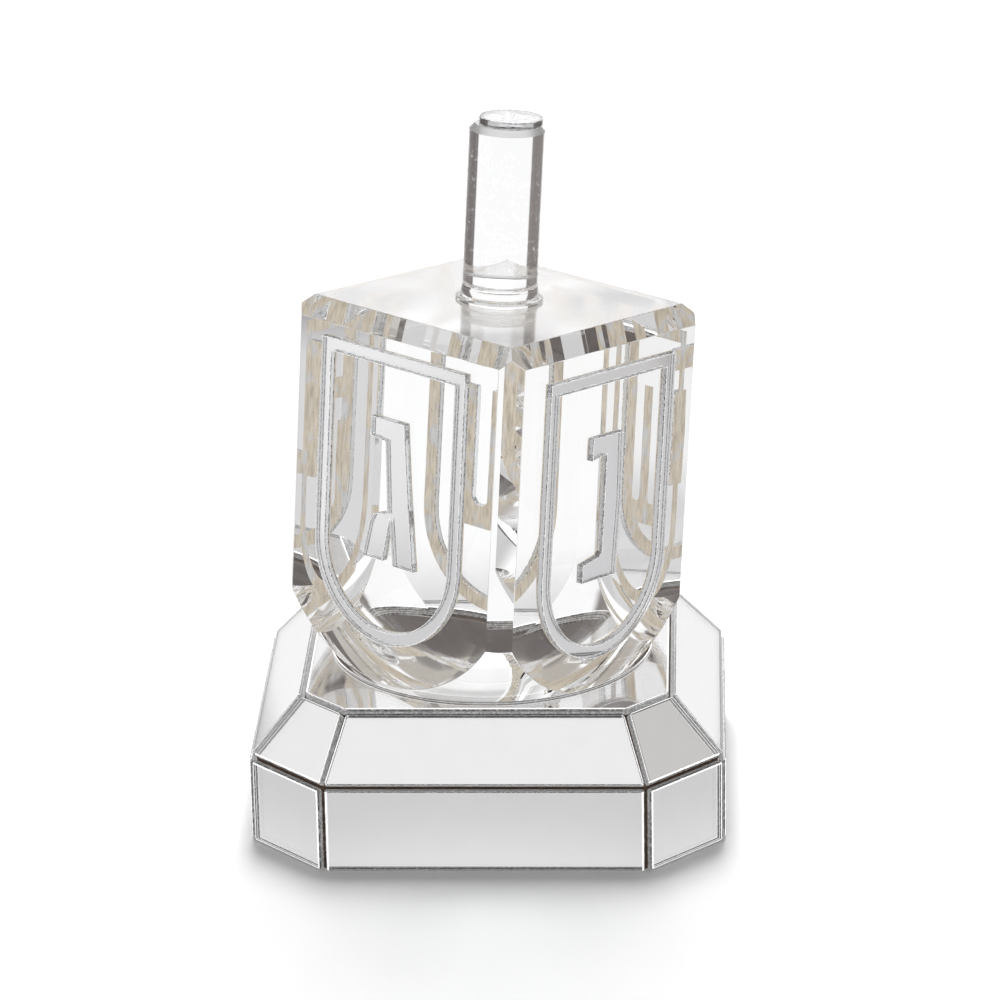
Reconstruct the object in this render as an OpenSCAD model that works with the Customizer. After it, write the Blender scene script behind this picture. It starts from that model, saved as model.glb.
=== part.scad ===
/* [Crystal block] */
// Width of the block across opposite faces
crystal_w = 50; // [44:0.5:52]
// Height of the flat top above the centre of the round bottom
crystal_top = 36.3; // [30:0.1:42]
// Radius of the round bottom
ball_r = 36.5; // [35.5:0.1:40]
// Width and height of the slope round the flat top
top_bevel = 3.1; // [1.5:0.1:5]
// Width that each upright corner facet takes off a face
corner_facet = 3.1; // [1.5:0.1:5]

/* [Handle] */
// Diameter of the clear rod
handle_d = 12.7; // [10:0.1:14]
// Length of the rod from the collar to its flat end
handle_len = 27; // [18:0.5:35]
// Width and height of the chamfer round the rod's upper end
handle_chamfer = 1; // [0.4:0.1:2]
// Width and height of the broken edge round the rod's lower end
handle_edge = 0.3; // [0.1:0.1:0.8]
// Diameter of the thin disc on the rod's end
tip_d = 10.7; // [8:0.1:12]
// Thickness of the disc
tip_t = 1.2; // [0.8:0.1:2]
// Distance between the disc's centre and the rod's axis, as it was glued
tip_offset = 0.6; // [0:0.1:1]
// Diameter of the clear collar where it meets the block
collar_d = 14.8; // [14.2:0.1:18]
// Height of the collar
collar_h = 3; // [1.5:0.1:5]
// Thickness of the collar's thin outer lip
collar_lip = 0.4; // [0.2:0.1:1]
// Thickness of the glue line under the collar, the rod and the disc
glue_t = 0.05; // [0.02:0.01:0.1]

/* [Face frames] */
// Width of each U-shaped frame
frame_w = 32; // [24:0.5:38]
// Height of bare crystal above the frames' top bars
frame_head_margin = 2; // [1:0.1:6]
// Height of bare crystal under the frames' bows
frame_foot_margin = 7.4; // [5:0.1:14]
// Width of the frame's band
frame_band = 2.3; // [1.5:0.1:4]
// Thickness of the mirror plate the frames are cut from
plate_t = 1.2; // [0.8:0.1:2]
// Thickness of the adhesive film behind each plate
film_t = 0.1; // [0.05:0.05:0.3]
// Distance that each frame was glued too low, in the order of FACES
frame_slips = [0, 1.3, 0.6, 0.6]; // [0:0.1:2]
// Distance that each frame was glued to the right of its face's middle
frame_shifts = [0, -0.5, 0.2, -0.2]; // [-1:0.1:1]

/* [Base] */
// Width of the base across its flat sides, over the mirrors
base_w = 80; // [74:0.5:90]
// Distance along each side that a corner of the base is cut back
corner_cut = 12.8; // [10:0.1:18]
// Height of the base to the face of the top mirror
base_h = 25.6; // [24:0.1:34]
// Height of the edge between the upright sides and the sloped shoulders
band_h = 14.9; // [8:0.1:18]
// Width of the top mirror's rim where its hole comes nearest to its flat sides
mirror_rim = 3.15; // [2:0.05:8]
// Thickness of the mirror glass
mirror_t = 1.3; // [1:0.1:3]
// Gap between neighbouring mirrors at the edge of the core
seam = 0.3; // [0.1:0.1:1]
// Height of the side mirrors' lower edge above the table
mirror_lift = 0.3; // [0.1:0.1:0.6]
// Thickness of the felt under the base
felt_t = 0.8; // [0.6:0.1:3]
// Distance that the felt lies inside the core's edge
felt_inset = 0.3; // [0:0.1:4]

/* [Seat] */
// Angle at the ball's centre between its lowest point and the socket's rim
seat_angle = 45; // [42:1:48]
// Width of the ledge between the socket and the hole in the top mirror
mirror_step = 1.4; // [1.2:0.1:2]
// Clearance between the ball and the socket's rim
seat_gap = 0.2; // [0.1:0.05:0.5]
// Thickness of the loose pad on the socket's floor
pad_t = 1.5; // [1:0.1:3]
// Clearance between the ball and the pad
pad_gap = 0.15; // [0.1:0.05:0.5]
// Clearance under the pad
pad_float = 0.1; // [0.05:0.05:0.3]
// Clearance between the pad and the socket's wall
pad_side_gap = 0.5; // [0.2:0.1:2]

/* [Pose] */
// Angle by which the top leans in its round seat
lean = 5.2; // [0:0.1:6]
// Direction of the lean, counted from the right side towards the back
lean_heading = 49; // [0:1:360]
// Turn of the block away from standing corner to the front
block_turn = 5.9; // [-45:0.1:45]

/* [Hidden] */
$fn = 96;

// The four faces of the crystal and the headings of their outward sides
FACES = ["front_left", "front_right", "back_right", "back_left"];
face_headings = [225, 315, 45, 135];
// The eight sides of the base and their headings: even ones are long, odd ones are corners
SIDES = ["front", "front_right", "right", "back_right", "back", "back_left", "left", "front_left"];
first_side_heading = -90;
side_step = 45;

// Length by which cutting tools run past what they cut
overrun = 1;
// Steps in the curve of the collar's flare
flare_steps = 10;

// Share of an octagon's inset that its corner cut loses along each side
inset_share = 2 - sqrt(2);

// Reach of the ball's cut on a crystal face below the ball's centre
face_foot = sqrt(pow(ball_r, 2) - pow(crystal_w / 2, 2));
face_head = crystal_top - top_bevel;
frame_h = face_head + face_foot - frame_head_margin - frame_foot_margin;

seat_r = (ball_r + seat_gap) * sin(seat_angle);
mirror_hole_r = seat_r + mirror_step;

// Heights above the ball's centre at which the collar, the rod and the disc begin
collar_foot = crystal_top + glue_t;
rod_foot = collar_foot + collar_h + glue_t;
disc_foot = rod_foot + handle_len + glue_t;

core_half = base_w / 2 - mirror_t;
core_top = base_h - mirror_t;
top_half = mirror_hole_r + mirror_rim;
shoulder_run = core_half - top_half;
shoulder_rise = core_top - band_h;
shoulder_slope = atan2(shoulder_rise, shoulder_run);
shoulder_len = norm([shoulder_run, shoulder_rise]);

// Height of the ball's centre, with the ball seated on the socket's rim
ball_z = core_top + (ball_r + seat_gap) * cos(seat_angle);
pad_top = ball_z - ball_r - pad_gap;
socket_floor = pad_top - pad_t - pad_float;

// Corner cut of the base's octagon at a given half width
function cut_at(half) = corner_cut - (base_w / 2 - half) * inset_share;

// Width of the base's side number i at a given half width
function side_width(i, half) = i % 2 == 0 ? 2 * (half - cut_at(half)) : cut_at(half) * sqrt(2);

// Distance from the axis to side number i at a given half width
function side_distance(i, half) = i % 2 == 0 ? half : (2 * half - cut_at(half)) / sqrt(2);

// A square with its four corners cut at 45 degrees
function cut_square(half, cut) = [
    [half, half - cut], [half - cut, half], [cut - half, half], [-half, half - cut],
    [-half, cut - half], [cut - half, -half], [half - cut, -half], [half, cut - half]
];

module base_octagon(half) {
    polygon(cut_square(half, cut_at(half)));
}

// Places a piece of the top as it leans in the seat, counted from the ball's centre
module as_it_leans() {
    translate([0, 0, ball_z])
        rotate([0, 0, lean_heading])
            rotate([0, lean, 0])
                rotate([0, 0, block_turn - lean_heading])
                    children();
}

// Places a flat piece on crystal face number i, drawn as seen from outside
module on_face(i, offset_out) {
    as_it_leans()
        rotate([0, 0, face_headings[i]])
            translate([crystal_w / 2 + offset_out, 0, 0])
                rotate([90, 0, 90])
                    children();
}

// Places a piece on side number i of the core, at the edge below the shoulder
module on_side(i) {
    rotate([0, 0, first_side_heading + side_step * i])
        translate([side_distance(i, core_half), 0, 0])
            children();
}

// Places a flat piece on shoulder number i, drawn with x up the slope and z outwards
module on_shoulder(i) {
    on_side(i)
        translate([0, 0, band_h])
            rotate([0, shoulder_slope, 0])
                rotate([0, 0, 180])
                    children();
}

// Upright silhouette of the crystal, with the slopes round its top
module crystal_profile() {
    half = crystal_w / 2;
    polygon([
        [-half, -ball_r], [half, -ball_r], [half, face_head],
        [half - top_bevel, crystal_top], [top_bevel - half, crystal_top],
        [-half, face_head]
    ]);
}

// What the round grinding takes off the lower half of the block
module outside_of_ball() {
    difference() {
        translate([-crystal_w, -crystal_w, -2 * ball_r])
            cube([2 * crystal_w, 2 * crystal_w, 2 * ball_r]);
        sphere(r = ball_r);
    }
}

module crystal_body() {
    color([0.86, 0.9, 0.92, 0.35])
        as_it_leans()
            rotate([0, 0, face_headings[0]])
                difference() {
                    intersection() {
                        translate([0, 0, -ball_r])
                            linear_extrude(ball_r + crystal_top)
                                polygon(cut_square(crystal_w / 2, corner_facet));
                        rotate([90, 0, 0])
                            linear_extrude(crystal_w, center = true)
                                crystal_profile();
                        rotate([90, 0, 90])
                            linear_extrude(crystal_w, center = true)
                                crystal_profile();
                    }
                    outside_of_ball();
                }
}

// Clear collar with a hollow flare, from the thin lip up to the rod
module handle_collar() {
    flare = (collar_d - handle_d) / 2;
    flare_points = [
        for (k = [0 : flare_steps])
            let (a = 90 * k / flare_steps)
            [handle_d / 2 + flare * (1 - sin(a)), collar_lip + (collar_h - collar_lip) * (1 - cos(a))]
    ];
    color([0.85, 0.89, 0.9, 0.4])
        as_it_leans()
            translate([0, 0, collar_foot])
                rotate_extrude()
                    polygon(concat([[0, 0], [collar_d / 2, 0]], flare_points, [[0, collar_h]]));
}

module handle() {
    r = handle_d / 2;
    color([0.86, 0.9, 0.92, 0.35])
        as_it_leans()
            translate([0, 0, rod_foot])
                rotate_extrude()
                    polygon([
                        [0, 0], [r - handle_edge, 0], [r, handle_edge],
                        [r, handle_len - handle_chamfer], [r - handle_chamfer, handle_len],
                        [0, handle_len]
                    ]);
}

module tip_disc() {
    color([0.86, 0.9, 0.92, 0.35])
        as_it_leans()
            rotate([0, 0, -block_turn])
                translate([tip_offset, 0, disc_foot])
                    cylinder(d = tip_d, h = tip_t);
}

// A plate with a straight top, straight sides and a half-round bottom, hung from the middle of its top
module bow_plate(width, height, thickness) {
    straight = height - width / 2;
    translate([-width / 2, -straight, 0])
        cube([width, straight, thickness]);
    translate([0, -straight, 0])
        cylinder(d = width, h = thickness);
}

// The U-shaped band on face number i, with its back at offset_out from the face
module bow_frame(i, thickness, offset_out) {
    on_face(i, offset_out)
        translate([frame_shifts[i], face_head - frame_head_margin - frame_slips[i], 0])
            difference() {
                bow_plate(frame_w, frame_h, thickness);
                translate([0, -frame_band, -overrun])
                    bow_plate(frame_w - 2 * frame_band, frame_h - 2 * frame_band, thickness + 2 * overrun);
            }
}

module frame(i) {
    color([0.82, 0.83, 0.84])
        bow_frame(i, plate_t, film_t);
}

module film(i) {
    color([0.8, 0.74, 0.62])
        bow_frame(i, film_t, 0);
}

module seat_pad() {
    color([0.8, 0.8, 0.79])
        translate([0, 0, pad_top - pad_t])
            cylinder(r = seat_r - pad_side_gap, h = pad_t);
}

module base_core() {
    color([0.42, 0.29, 0.2])
        difference() {
            translate([0, 0, felt_t])
                linear_extrude(core_top - felt_t)
                    base_octagon(core_half);
            for (i = [0 : len(SIDES) - 1])
                on_shoulder(i)
                    translate([-overrun, -base_w / 2, 0])
                        cube([base_h + 2 * overrun, base_w, base_h]);
            translate([0, 0, socket_floor])
                cylinder(r = seat_r, h = base_h);
        }
}

module top_mirror() {
    color([0.86, 0.87, 0.88])
        translate([0, 0, core_top])
            difference() {
                linear_extrude(mirror_t)
                    base_octagon(top_half);
                translate([0, 0, -overrun])
                    cylinder(r = mirror_hole_r, h = mirror_t + 2 * overrun);
            }
}

module base_felt() {
    color([0.36, 0.27, 0.2])
        linear_extrude(felt_t)
            base_octagon(core_half - felt_inset);
}

// Trapezoid pane on shoulder number i, lying on the core's slope
module shoulder_mirror(i) {
    low = (side_width(i, core_half) - seam) / 2;
    high = (side_width(i, top_half) - seam) / 2;
    color([0.84, 0.85, 0.87])
        on_shoulder(i)
            linear_extrude(mirror_t)
                polygon([
                    [seam / 2, -low], [shoulder_len - seam / 2, -high],
                    [shoulder_len - seam / 2, high], [seam / 2, low]
                ]);
}

// Upright pane on side number i
module side_mirror(i) {
    width = side_width(i, core_half) - seam;
    color([0.84, 0.85, 0.87])
        on_side(i)
            translate([0, -width / 2, mirror_lift])
                cube([mirror_t, width, band_h - seam / 2 - mirror_lift]);
}

crystal_body();
handle();
handle_collar();
tip_disc();
frame(0);  // frame_front_left
frame(1);  // frame_front_right
frame(2);  // frame_back_right
frame(3);  // frame_back_left
film(0);  // film_front_left
film(1);  // film_front_right
film(2);  // film_back_right
film(3);  // film_back_left
seat_pad();
base_core();
top_mirror();
base_felt();
shoulder_mirror(0);  // shoulder_mirror_front
shoulder_mirror(1);  // shoulder_mirror_front_right
shoulder_mirror(2);  // shoulder_mirror_right
shoulder_mirror(3);  // shoulder_mirror_back_right
shoulder_mirror(4);  // shoulder_mirror_back
shoulder_mirror(5);  // shoulder_mirror_back_left
shoulder_mirror(6);  // shoulder_mirror_left
shoulder_mirror(7);  // shoulder_mirror_front_left
side_mirror(0);  // side_mirror_front
side_mirror(1);  // side_mirror_front_right
side_mirror(2);  // side_mirror_right
side_mirror(3);  // side_mirror_back_right
side_mirror(4);  // side_mirror_back
side_mirror(5);  // side_mirror_back_left
side_mirror(6);  // side_mirror_left
side_mirror(7);  // side_mirror_front_left
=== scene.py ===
import math

import bmesh
import bpy
from mathutils import Euler, Matrix, Vector


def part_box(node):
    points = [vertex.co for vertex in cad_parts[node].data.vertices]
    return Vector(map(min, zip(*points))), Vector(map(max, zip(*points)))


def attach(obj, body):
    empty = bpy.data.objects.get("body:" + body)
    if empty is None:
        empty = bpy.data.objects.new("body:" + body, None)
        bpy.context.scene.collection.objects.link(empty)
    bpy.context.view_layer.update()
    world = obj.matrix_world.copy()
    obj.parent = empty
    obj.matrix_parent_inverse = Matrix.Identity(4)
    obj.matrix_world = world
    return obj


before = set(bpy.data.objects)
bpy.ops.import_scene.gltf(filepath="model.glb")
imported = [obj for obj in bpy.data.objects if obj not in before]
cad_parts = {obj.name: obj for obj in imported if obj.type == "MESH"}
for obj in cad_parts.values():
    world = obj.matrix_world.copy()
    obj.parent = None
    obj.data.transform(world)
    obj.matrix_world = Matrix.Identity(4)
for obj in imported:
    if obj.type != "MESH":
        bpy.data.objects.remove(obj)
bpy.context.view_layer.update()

bl_info = {
    "name": "Crystal Dreidel on a Mirrored Base",
    "version": (1, 0, 0),
    "blender": (4, 5, 0),
    "location": "View3D > Sidebar > Dreidel",
    "description": "Glass, mirror and film finishes, raised game marks and a studio for the dreidel",
    "category": "Object",
}

MM = 0.001
UPWARDS = Vector((0.0, 0.0, 1.0))

# Corners nearer than this are one corner, and unit directions with a larger product are one direction
SAME_POINT = 0.001 * MM
SAME_WAY = 0.9995

# Plain block outlines of the game mark on each face of the block, by the names of its pieces.
# Points are in mm: x to the right and y down from the mark's top.
MARKS = {
    "front_right": {
        "nun": (
            (-4.6, 0.0), (3.2, 0.0), (3.6, 12.0), (3.1, 25.0), (-5.6, 25.0), (-5.7, 21.8),
            (-1.6, 21.0), (-0.9, 20.3), (-0.9, 3.3), (-4.6, 3.9),
        ),
    },
    "front_left": {
        "gimel": (
            (-4.3, 0.0), (3.2, 0.0), (4.4, 11.0), (6.3, 25.0), (1.7, 25.0), (0.7, 17.4),
            (-0.6, 24.6), (-5.2, 24.6), (-3.9, 18.6), (-3.0, 16.8), (-1.4, 16.2), (0.1, 16.2),
            (-0.9, 3.9), (-4.3, 3.4),
        ),
    },
    "back_left": {
        "hei": (
            (-3.2, 0.0), (7.0, 0.0), (7.3, 12.0), (6.9, 25.0), (3.5, 25.0), (3.7, 3.8), (-3.2, 3.8),
        ),
        "hei_leg": (
            (-3.0, 7.8), (-0.1, 7.8), (0.1, 16.0), (-0.2, 25.0), (-3.3, 25.0),
        ),
    },
    "back_right": {
        "shin": (
            (-9.2, 0.0), (-5.5, 0.0), (-5.5, 19.9), (-4.7, 20.8), (-2.7, 20.8), (-1.9, 19.9),
            (-1.9, 0.0), (1.9, 0.0), (1.9, 19.9), (2.7, 20.8), (4.7, 20.8), (5.5, 19.9),
            (5.5, 0.0), (9.2, 0.0), (9.2, 23.2), (7.8, 24.7), (-8.5, 24.7), (-9.2, 24.0),
        ),
    },
}
BASE_SIDES = (
    "front", "front_right", "right", "back_right", "back", "back_left", "left", "front_left",
)

# Indices of refraction beside the crystal's own
ROD_INDEX = 1.5
PLATE_INDEX = 1.49
MIRROR_INDEX = 1.52

# The silvering is a thin sheet inside each plate or pane: its height above the back face, its
# distance from the outline, and its thickness
SILVER_THICKNESS = 0.02 * MM
PLATE_SILVER_LIFT = 0.05 * MM
PLATE_SILVER_INSET = 0.06 * MM
PANE_SILVER_LIFT = 0.06 * MM
PANE_SILVER_INSET = 0.22 * MM

# Share of a lamp's light that clear glass lets into its shadow
SHADOW_TINT = (0.93, 0.94, 0.94)

# The pale lining of the socket ends and its grey paint begins between these two heights, out to a
# distance beyond the seat pad's edge. Both glow with painted light
LINING_TOP = 15.5 * MM
PAINT_FOOT = 17.5 * MM
SOCKET_MARGIN = 1.2 * MM

# Width of the ring of painted shade on the end disc, where its ground rim shows through
DISC_RIM = 0.6 * MM

# Widths of the ground edges
FRAME_EDGE = 0.18 * MM
MARK_EDGE = 0.15 * MM
DISC_EDGE = 0.14 * MM
BLOCK_EDGE = 0.12 * MM


class DREIDEL_PG_glass(bpy.types.PropertyGroup):
    """Clear pieces of the top"""

    tint: bpy.props.FloatVectorProperty(
        name="Crystal tint", description="Colour of the crystal block", subtype="COLOR",
        size=3, min=0.0, max=1.0, default=(0.992, 0.994, 0.997),
    )
    index: bpy.props.FloatProperty(
        name="Crystal index", description="Index of refraction of the optical crystal",
        min=1.3, max=2.0, default=1.52,
    )
    glue_poke: bpy.props.FloatProperty(
        name="Film contact",
        description="Depth by which the film is pressed into the crystal's face",
        subtype="DISTANCE", unit="LENGTH", min=0.0, max=0.0002, default=0.00002,
    )


class DREIDEL_PG_marks(bpy.types.PropertyGroup):
    """Raised game marks and frames"""

    top_gap: bpy.props.FloatProperty(
        name="Top gap", description="Distance from the frame's top edge to the top of the mark",
        subtype="DISTANCE", unit="LENGTH", min=0.006, max=0.016, default=0.0113,
    )
    plate: bpy.props.FloatProperty(
        name="Plate", description="Thickness of the mirror plate that the marks are cut from",
        subtype="DISTANCE", unit="LENGTH", min=0.0006, max=0.003, default=0.0012,
    )
    film: bpy.props.FloatProperty(
        name="Film", description="Thickness of the adhesive film behind the marks",
        subtype="DISTANCE", unit="LENGTH", min=0.00005, max=0.0005, default=0.0001,
    )
    film_colour: bpy.props.FloatVectorProperty(
        name="Film colour", description="Colour of the adhesive film, seen through the crystal",
        subtype="COLOR", size=3, min=0.0, max=1.0, default=(0.66, 0.585, 0.475),
    )


class DREIDEL_PG_base(bpy.types.PropertyGroup):
    """Mirrored base"""

    edge: bpy.props.FloatProperty(
        name="Polished edge", description="Width of the polished edge round each mirror",
        subtype="DISTANCE", unit="LENGTH", min=0.0, max=0.0005, default=0.00036,
    )
    board_colour: bpy.props.FloatVectorProperty(
        name="Board colour", description="Colour of the fibreboard core", subtype="COLOR",
        size=3, min=0.0, max=1.0, default=(0.10, 0.065, 0.045),
    )
    felt_colour: bpy.props.FloatVectorProperty(
        name="Felt colour", description="Colour of the felt under the base", subtype="COLOR",
        size=3, min=0.0, max=1.0, default=(0.11, 0.075, 0.055),
    )
    pad_colour: bpy.props.FloatVectorProperty(
        name="Pad colour", description="Colour of the seat pad and the lower half of the socket",
        subtype="COLOR", size=3, min=0.0, max=1.0, default=(0.62, 0.61, 0.60),
    )


class DREIDEL_PG_stage(bpy.types.PropertyGroup):
    """Studio round the object"""

    floor_size: bpy.props.FloatProperty(
        name="Floor size", description="Width of the pale floor",
        subtype="DISTANCE", unit="LENGTH", min=1.0, max=20.0, default=8.0,
    )


def cad(name):
    """CAD node of a name"""
    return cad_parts[name]


def broad_normal(piece):
    """Unit normal, up to its sign, of the flat faces with the largest area"""
    groups = []
    for face in piece.data.polygons:
        for group in groups:
            if abs(group[0].dot(face.normal)) > SAME_WAY:
                group[1] += face.area
                break
        else:
            groups.append([face.normal.copy(), face.area])
    return max(groups, key=lambda group: group[1])[0].normalized()


def middle(name):
    """Middle of a CAD node's box"""
    low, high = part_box(name)
    return (low + high) / 2


def outward_normal(name, origin):
    """Normal of a plate's broad faces that points away from the origin"""
    normal = broad_normal(cad(name))
    return normal if normal.dot(middle(name) - origin) > 0 else -normal


def face_axes(face):
    """Right, up and out of one face of the block, as seen from outside"""
    up = broad_normal(cad("tip_disc"))
    if up.z < 0:
        up = -up
    out = outward_normal("film_" + face, middle("crystal_body"))
    out = (out - up * out.dot(up)).normalized()
    return up.cross(out).normalized(), up, out


def extent(name, axis):
    """Lowest and highest place of a CAD node along an axis"""
    places = [vert.co.dot(axis) for vert in cad(name).data.vertices]
    return min(places), max(places)


def drop_carried_normals(mesh):
    """Lets the faces, and not normals that came with the mesh, give the shading"""
    carried = mesh.attributes.get("custom_normal")
    if carried:
        mesh.attributes.remove(carried)


def shade_flat(mesh):
    """Flat faces with crisp edges"""
    mesh.polygons.foreach_set("use_smooth", [False] * len(mesh.polygons))
    drop_carried_normals(mesh)
    mesh.update()


def new_piece(name, bm, body):
    """Makes a piece of the object from a bmesh, riding on a body"""
    mesh = bpy.data.meshes.new(name)
    bm.normal_update()
    bm.to_mesh(mesh)
    bm.free()
    shade_flat(mesh)
    piece = bpy.data.objects.new(name, mesh)
    bpy.context.scene.collection.objects.link(piece)
    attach(piece, body)
    return piece


def thickened(bm, offset):
    """Closes a plate between the faces of a bmesh and their copy at an offset"""
    grown = bmesh.ops.extrude_face_region(bm, geom=bm.faces[:], use_keep_orig=True)
    moved = [part for part in grown["geom"] if isinstance(part, bmesh.types.BMVert)]
    bmesh.ops.translate(bm, verts=moved, vec=offset)
    bmesh.ops.recalc_face_normals(bm, faces=bm.faces)
    return bm


def silver_sheet(name, out, lift, inset):
    """Thin closed sheet that follows a plate's back face, lifted into the plate"""
    bm = bmesh.new()
    bm.from_mesh(cad(name).data)
    bmesh.ops.remove_doubles(bm, verts=bm.verts, dist=SAME_POINT)
    bm.normal_update()
    others = [face for face in bm.faces if face.normal.dot(out) > -SAME_WAY]
    bmesh.ops.delete(bm, geom=others, context="FACES")
    bmesh.ops.dissolve_limit(bm, angle_limit=0.001, verts=bm.verts, edges=bm.edges)
    rim = bmesh.ops.inset_region(
        bm, faces=bm.faces, thickness=inset, use_boundary=True, use_even_offset=True,
    )
    bmesh.ops.delete(bm, geom=rim["faces"], context="FACES")
    loose = [vert for vert in bm.verts if not vert.link_faces]
    bmesh.ops.delete(bm, geom=loose, context="VERTS")
    bmesh.ops.translate(bm, verts=bm.verts, vec=out * lift)
    return thickened(bm, out * SILVER_THICKNESS)


def outline_plate(points, matrix, low, high):
    """Closed plate from an outline in mm, between two heights above the crystal face"""
    bm = bmesh.new()
    bm.faces.new([bm.verts.new(matrix @ Vector((x * MM, -y * MM, low))) for x, y in points])
    return thickened(bm, matrix.to_3x3() @ UPWARDS * (high - low))


def shrunk(points, distance, limit=0.3):
    """Outline moved inwards by a distance, with a limit on how far its sharp corners move"""
    following = points[1:] + points[:1]
    area = sum(a[0] * b[1] - b[0] * a[1] for a, b in zip(points, following))
    inwards = 1 if area > 0 else -1
    moved = []
    for before, here, after in zip(points[-1:] + points[:-1], points, following):
        arriving = (Vector(here) - Vector(before)).normalized()
        leaving = (Vector(after) - Vector(here)).normalized()
        first, second = (Vector((-way.y, way.x)) * inwards for way in (arriving, leaving))
        corner = (first + second) / max(limit, 1 + first.dot(second))
        moved.append(tuple(Vector(here) + corner * distance))
    return tuple(moved)


def grey(tone):
    """Grey colour of a tone"""
    return (tone,) * 3


def opaque(colour):
    """Colour with an alpha of 1"""
    return (*colour, 1.0)


def toned(colour, share):
    """Colour at a share of its brightness"""
    return tuple(min(1.0, part * share) for part in colour)


def node(tree, kind, inputs=None, **settings):
    """Adds a node with its settings and the plain values of its inputs"""
    made = tree.nodes.new(kind)
    for key, value in settings.items():
        setattr(made, key, value)
    for key, value in (inputs or {}).items():
        made.inputs[key].default_value = value
    return made


def feed(tree, source, target):
    """Links a socket to an input, or sets a plain value on it"""
    if isinstance(source, bpy.types.NodeSocket):
        tree.links.new(source, target)
    else:
        target.default_value = source


def worked(tree, operation, *terms):
    """Result of an operation on numbers"""
    made = node(tree, "ShaderNodeMath", operation=operation)
    for term, target in zip(terms, made.inputs):
        feed(tree, term, target)
    return made.outputs[0]


def worked_vector(tree, operation, *terms):
    """Result of an operation on vectors: a number for a dot product or a length, or else a vector"""
    made = node(tree, "ShaderNodeVectorMath", operation=operation)
    for term, target in zip(terms, made.inputs):
        feed(tree, term, target)
    return made.outputs["Value" if operation in ("DOT_PRODUCT", "LENGTH") else "Vector"]


def rising(tree, value, low, high, start=0.0):
    """Soft step up to 1 while a value goes from low to high"""
    made = node(tree, "ShaderNodeMapRange", {
        "From Min": low, "From Max": high, "To Min": start,
    }, interpolation_type="SMOOTHSTEP")
    feed(tree, value, made.inputs["Value"])
    return made.outputs[0]


def mixed(tree, share, first, second):
    """Colour between two colours"""
    made = node(tree, "ShaderNodeMix", data_type="RGBA")
    feed(tree, share, made.inputs[0])
    feed(tree, first, made.inputs[6])
    feed(tree, second, made.inputs[7])
    return made.outputs[2]


def ramp(tree, factor, stops, interpolation="LINEAR"):
    """Colour ramp with a list of places and colours"""
    made = node(tree, "ShaderNodeValToRGB")
    made.color_ramp.interpolation = interpolation
    elements = made.color_ramp.elements
    while len(elements) < len(stops):
        elements.new(0.5)
    for element, (place, colour) in zip(elements, stops):
        element.position = place
        element.color = opaque(colour)
    feed(tree, factor, made.inputs[0])
    return made.outputs["Color"]


def height_of(tree, vector):
    """Third part of a vector"""
    split = node(tree, "ShaderNodeSeparateXYZ")
    feed(tree, vector, split.inputs[0])
    return split.outputs["Z"]


# Kinds of socket on a node group
NUMBER = "NodeSocketFloat"
VECTOR = "NodeSocketVector"
COLOUR = "NodeSocketColor"
GEOMETRY = "NodeSocketGeometry"


def new_group(name, kind, inputs, outputs):
    """Node group with named inputs and outputs, and its two end nodes"""
    group = bpy.data.node_groups.new(name, kind)
    for in_out, sockets in (("INPUT", inputs), ("OUTPUT", outputs)):
        for socket, socket_type in sockets.items():
            group.interface.new_socket(socket, in_out=in_out, socket_type=socket_type)
    return group, group.nodes.new("NodeGroupInput"), group.nodes.new("NodeGroupOutput")


def shared_group(name, build):
    """Node group of a name, built the first time that it is asked for"""
    return bpy.data.node_groups.get(name) or build(name)


def build_grain(name):
    """Shader group: cloudy grain of a given scale, stretched along the axes of the object"""
    group, start, end = new_group(
        name, "ShaderNodeTree",
        {"Scale": NUMBER, "Detail": NUMBER, "Roughness": NUMBER, "Stretch": VECTOR},
        {"Grain": NUMBER},
    )
    place = node(group, "ShaderNodeTexCoord")
    stretch = node(group, "ShaderNodeMapping")
    noise = node(group, "ShaderNodeTexNoise")
    feed(group, place.outputs["Object"], stretch.inputs["Vector"])
    feed(group, start.outputs["Stretch"], stretch.inputs["Scale"])
    feed(group, stretch.outputs[0], noise.inputs["Vector"])
    for socket in ("Scale", "Detail", "Roughness"):
        feed(group, start.outputs[socket], noise.inputs[socket])
    feed(group, noise.outputs["Fac"], end.inputs["Grain"])
    return group


def grain(tree, scale, detail, roughness=0.5, stretch=(1.0, 1.0, 1.0)):
    """Places the grain group in a material"""
    made = node(tree, "ShaderNodeGroup", {
        "Scale": scale, "Detail": detail, "Roughness": roughness, "Stretch": stretch,
    }, node_tree=shared_group("fine_grain", build_grain))
    return made.outputs["Grain"]


def build_facing(name):
    """Shader group: how far the surface faces along an axis, with its sign and without"""
    group, start, end = new_group(
        name, "ShaderNodeTree", {"Axis": VECTOR}, {"Along": NUMBER, "Either Way": NUMBER},
    )
    place = node(group, "ShaderNodeTexCoord")
    along = worked_vector(group, "DOT_PRODUCT", place.outputs["Normal"], start.outputs["Axis"])
    feed(group, along, end.inputs["Along"])
    feed(group, worked(group, "ABSOLUTE", along), end.inputs["Either Way"])
    return group


def facing(tree, axis, reading):
    """Places the facing group in a material and gives one of its outputs"""
    made = node(tree, "ShaderNodeGroup", {
        "Axis": tuple(axis),
    }, node_tree=shared_group("facing_axis", build_facing))
    return made.outputs[reading]


def build_radius(name):
    """Shader group: distance from a straight line through a point"""
    group, start, end = new_group(
        name, "ShaderNodeTree", {"Point": VECTOR, "Axis": VECTOR}, {"Distance": NUMBER},
    )
    place = node(group, "ShaderNodeTexCoord")
    offset = worked_vector(group, "SUBTRACT", place.outputs["Object"], start.outputs["Point"])
    across = worked_vector(group, "CROSS_PRODUCT", offset, start.outputs["Axis"])
    feed(group, worked_vector(group, "LENGTH", across), end.inputs["Distance"])
    return group


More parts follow.
